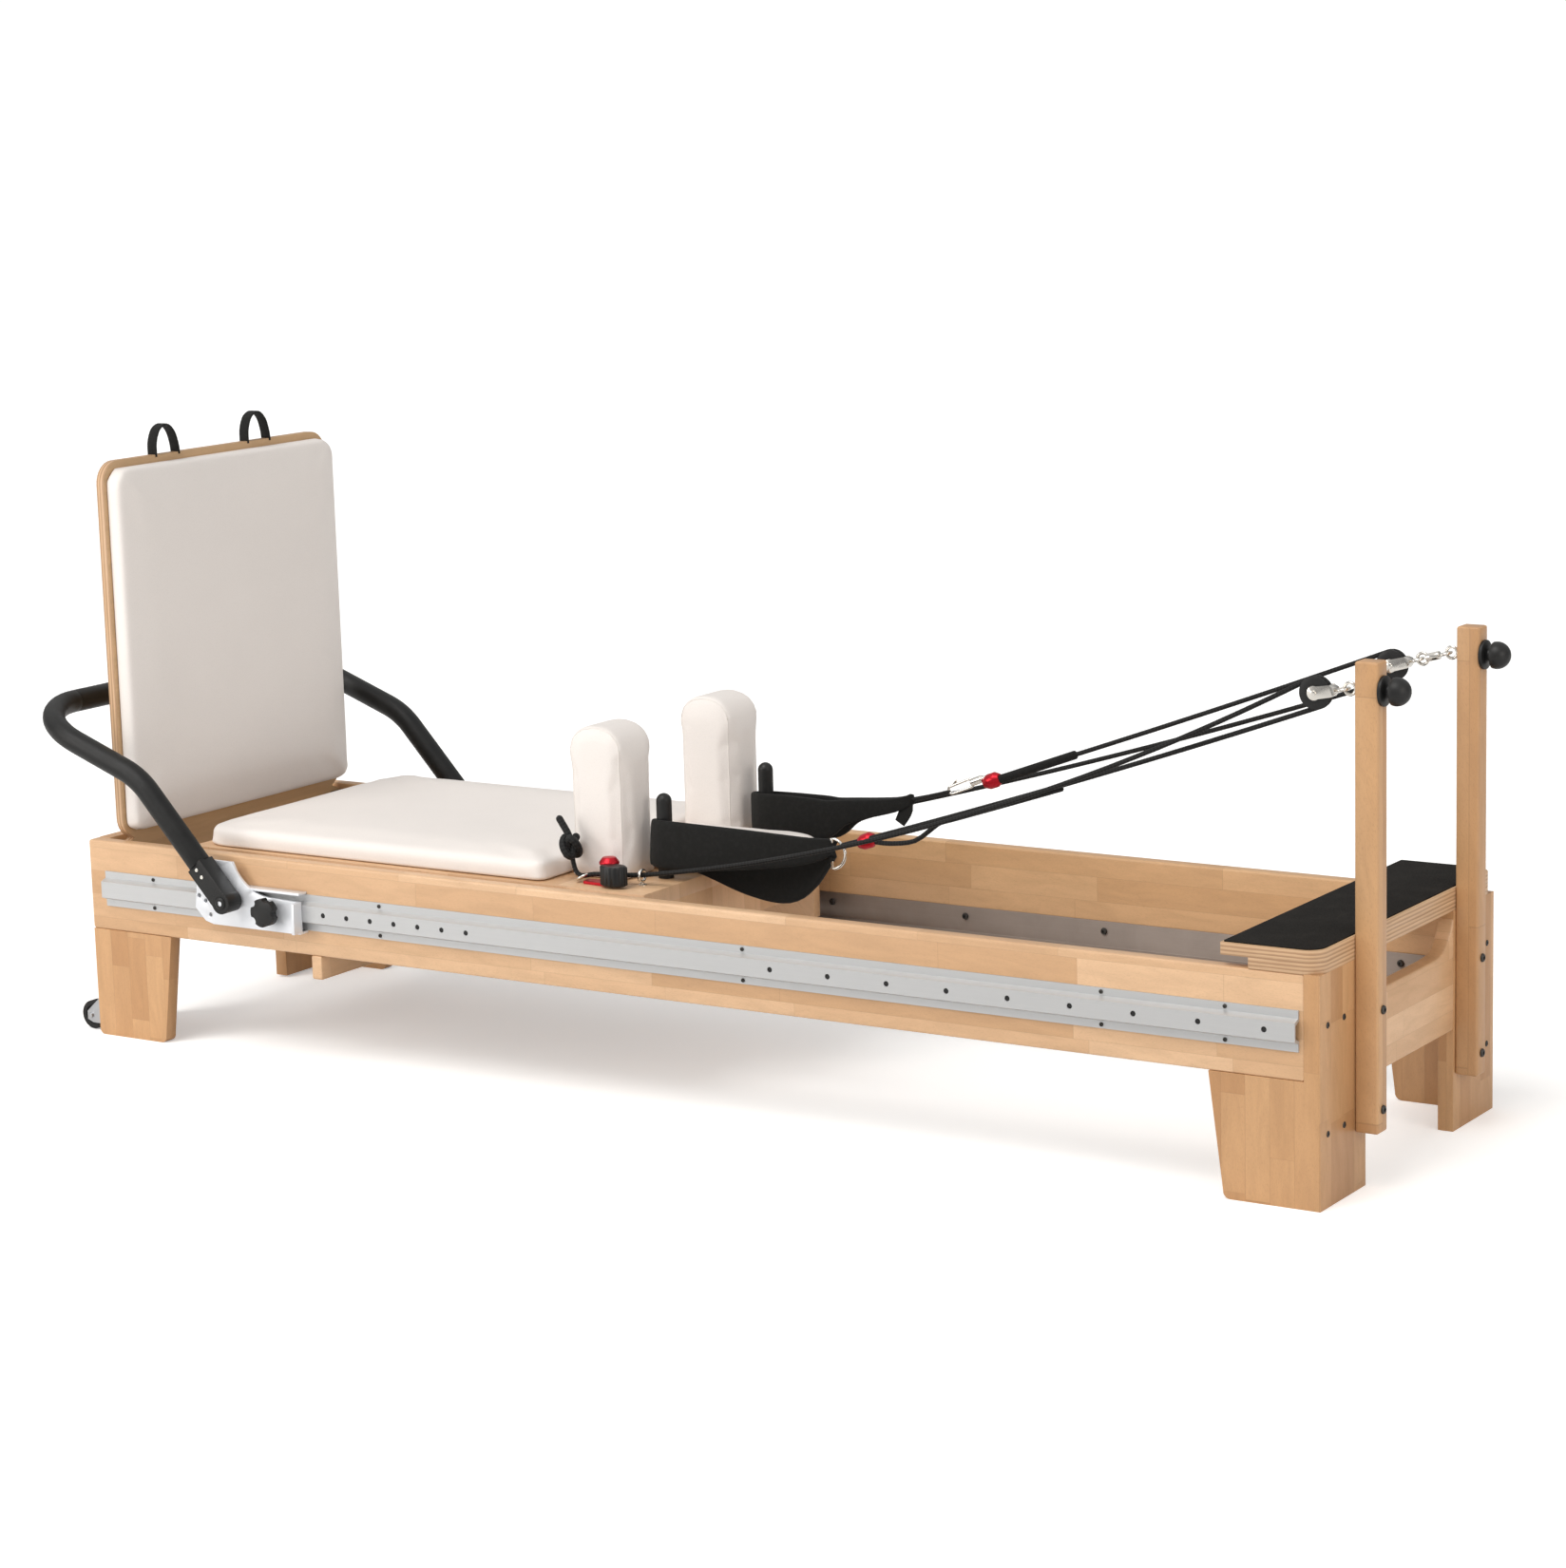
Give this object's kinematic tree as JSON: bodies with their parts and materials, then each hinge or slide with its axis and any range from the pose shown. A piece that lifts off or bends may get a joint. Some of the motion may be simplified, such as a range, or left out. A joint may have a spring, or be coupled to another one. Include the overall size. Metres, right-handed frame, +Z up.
{
  "type": "pilates reformer",
  "caption": "Wooden pilates reformer: sprung padded carriage on rails, folding footbar, upright jump board, shoulder rests, hand straps and rope risers over a standing platform.",
  "frame": {"origin": "on the floor, at the middle of the overall length and width", "axes": "+X along the length towards the head end with the risers, +Y across, +Z up"},
  "size_m": [2.5971, 0.7802, 1.084],
  "materials": {
    "panel_wood": "clear satin lacquer over finger-jointed hardwood staves",
    "leg_wood": "clear satin lacquer, grain upright",
    "ply": "birch plywood with layered edges",
    "platform_grip": "fine-grained non-slip sheet",
    "cream_leather": "soft matt synthetic leather",
    "aluminium": "anodised extrusion",
    "track_aluminium": "anodised extrusion, worn by wheels",
    "bracket_paint": "light silver powder coat",
    "chrome": "bright plating",
    "steel": "zinc-plated steel",
    "screw_black": "blackened screw heads",
    "black_plastic": "moulded, fine texture",
    "black_steel": "black powder coat",
    "foam_grip": "closed-cell foam sleeve",
    "tyre": "moulded wheel tread",
    "webbing": "woven webbing, padded",
    "rope": "braided cord",
    "red_anodised": "red anodised"
  },
  "bodies": {
    "frame": {"near_side_panel": "panel_wood", "far_side_panel": "panel_wood", "foot_end_board": "panel_wood", "head_end_board": "panel_wood", "near_foot_leg": "leg_wood", "far_foot_leg": "leg_wood", "near_head_leg": "leg_wood", "far_head_leg": "leg_wood", "spring_brace": "panel_wood", "near_outer_rail": "aluminium", "far_outer_rail": "aluminium", "inner_tracks": "track_aluminium", "platform_base": "ply", "platform_top": "ply", "platform_grip": "platform_grip", "near_riser": "leg_wood", "far_riser": "leg_wood", "frame_screws": "screw_black", "spring_bar": "steel", "board_sockets": "black_plastic", "carriage_stops": "black_plastic", "eyebolts": "chrome", "near_pulley_block": "chrome", "far_pulley_block": "chrome", "wheel_brackets": "steel", "ropes": "rope"},
    "near_pulley": {"near_pulley_wheel": "black_plastic"},
    "far_pulley": {"far_pulley_wheel": "black_plastic"},
    "near_knob": {"near_riser_knob": "black_plastic"},
    "far_knob": {"far_riser_knob": "black_plastic"},
    "near_castor": {"near_transport_wheel": "tyre"},
    "far_castor": {"far_transport_wheel": "tyre"},
    "footbar_slider": {"near_footbar_bracket": "bracket_paint", "far_footbar_bracket": "bracket_paint"},
    "near_plunger": {"near_lock_knob": "black_plastic"},
    "far_plunger": {"far_lock_knob": "black_plastic"},
    "footbar": {"footbar_tube": "steel", "footbar_grip": "foam_grip", "footbar_sleeves": "black_steel"},
    "jump_board": {"jump_board": "ply", "jump_board_pad": "cream_leather", "jump_board_loops": "webbing"},
    "carriage": {"carriage_deck": "panel_wood", "carriage_chassis": "panel_wood", "carriage_mat": "cream_leather", "strap_posts": "black_plastic", "springs": "steel", "rope_cleats": "red_anodised", "hand_straps": "webbing"},
    "headrest": {"headrest_board": "panel_wood", "headrest_pad": "cream_leather"},
    "near_rest": {"near_shoulder_rest": "cream_leather"},
    "far_rest": {"far_shoulder_rest": "cream_leather"},
    "foot_end_axle": {"foot_end_wheels": "tyre"},
    "head_end_axle": {"head_end_wheels": "tyre"},
    "near_clip": {"near_strap_ring": "chrome", "near_rope_lock": "red_anodised"},
    "far_clip": {"far_strap_hook": "chrome", "far_rope_lock": "red_anodised"}
  },
  "joints": [
    {"name": "carriage_slide", "type": "slide", "parent": "frame", "child": "carriage", "axis": [1, 0, 0], "range_m": [0, 0.8], "deforming": ["springs", "ropes", "hand_straps"]},
    {"name": "foot_end_wheels_roll", "type": "hinge", "parent": "carriage", "child": "foot_end_axle", "pos_m": [-0.8835, 0, 0.2281], "axis": [0, 1, 0], "continuous": true},
    {"name": "head_end_wheels_roll", "type": "hinge", "parent": "carriage", "child": "head_end_axle", "pos_m": [-0.1035, 0, 0.2281], "axis": [0, 1, 0], "continuous": true},
    {"name": "near_clip_draw", "type": "slide", "parent": "frame", "child": "near_clip", "axis": [1, 0, 0], "range_m": [0, 0.5476]},
    {"name": "far_clip_draw", "type": "slide", "parent": "frame", "child": "far_clip", "axis": [1, 0, 0], "range_m": [0, 0.4836]},
    {"name": "footbar_slide", "type": "slide", "parent": "frame", "child": "footbar_slider", "axis": [1, 0, 0], "range_m": [-0.153, 0.051]},
    {"name": "footbar_pivot", "type": "hinge", "parent": "footbar_slider", "child": "footbar", "pos_m": [-0.8285, 0, 0.285], "axis": [0, -1, 0], "range_deg": [-8, 32]},
    {"name": "near_lock_pull", "type": "slide", "parent": "footbar_slider", "child": "near_plunger", "axis": [0, -1, 0], "range_m": [0, 0.01], "stiffness_N_per_m": 400, "springref_m": -0.005},
    {"name": "far_lock_pull", "type": "slide", "parent": "footbar_slider", "child": "far_plunger", "axis": [0, 1, 0], "range_m": [0, 0.01], "stiffness_N_per_m": 400, "springref_m": -0.005},
    {"name": "jump_board_lift", "type": "slide", "parent": "frame", "child": "jump_board", "axis": [0, 0, 1], "range_m": [0, 0.15]},
    {"name": "headrest_tilt", "type": "hinge", "parent": "carriage", "child": "headrest", "pos_m": [-0.1985, 0, 0.363], "axis": [0, -1, 0], "range_deg": [0, 40]},
    {"name": "near_rest_lift", "type": "slide", "parent": "carriage", "child": "near_rest", "axis": [0, 0, 1], "range_m": [0, 0.06]},
    {"name": "far_rest_lift", "type": "slide", "parent": "carriage", "child": "far_rest", "axis": [0, 0, 1], "range_m": [0, 0.06]},
    {"name": "near_pulley_spin", "type": "hinge", "parent": "frame", "child": "near_pulley", "pos_m": [1.14822, -0.1875, 0.75111], "axis": [0, 1, 0], "continuous": true},
    {"name": "far_pulley_spin", "type": "hinge", "parent": "frame", "child": "far_pulley", "pos_m": [1.10278, 0.1875, 0.73421], "axis": [0, 1, 0], "continuous": true},
    {"name": "near_knob_turn", "type": "hinge", "parent": "frame", "child": "near_knob", "pos_m": [1.2565, -0.1875, 0.76], "axis": [1, 0, 0], "continuous": true},
    {"name": "far_knob_turn", "type": "hinge", "parent": "frame", "child": "far_knob", "pos_m": [1.2565, 0.1875, 0.76], "axis": [1, 0, 0], "continuous": true},
    {"name": "near_wheel_spin", "type": "hinge", "parent": "frame", "child": "near_castor", "pos_m": [-1.2175, -0.296, 0.027], "axis": [0, 1, 0], "continuous": true},
    {"name": "far_wheel_spin", "type": "hinge", "parent": "frame", "child": "far_castor", "pos_m": [-1.2175, 0.296, 0.027], "axis": [0, 1, 0], "continuous": true}
  ],
  "couplings": [
    {"joint": "foot_end_wheels_roll", "follows": "carriage_slide", "rad_per_m": 40},
    {"joint": "head_end_wheels_roll", "follows": "carriage_slide", "rad_per_m": 40},
    {"joint": "near_clip_draw", "follows": "carriage_slide", "ratio": 0.6833},
    {"joint": "far_clip_draw", "follows": "carriage_slide", "ratio": 0.6032}
  ]
}
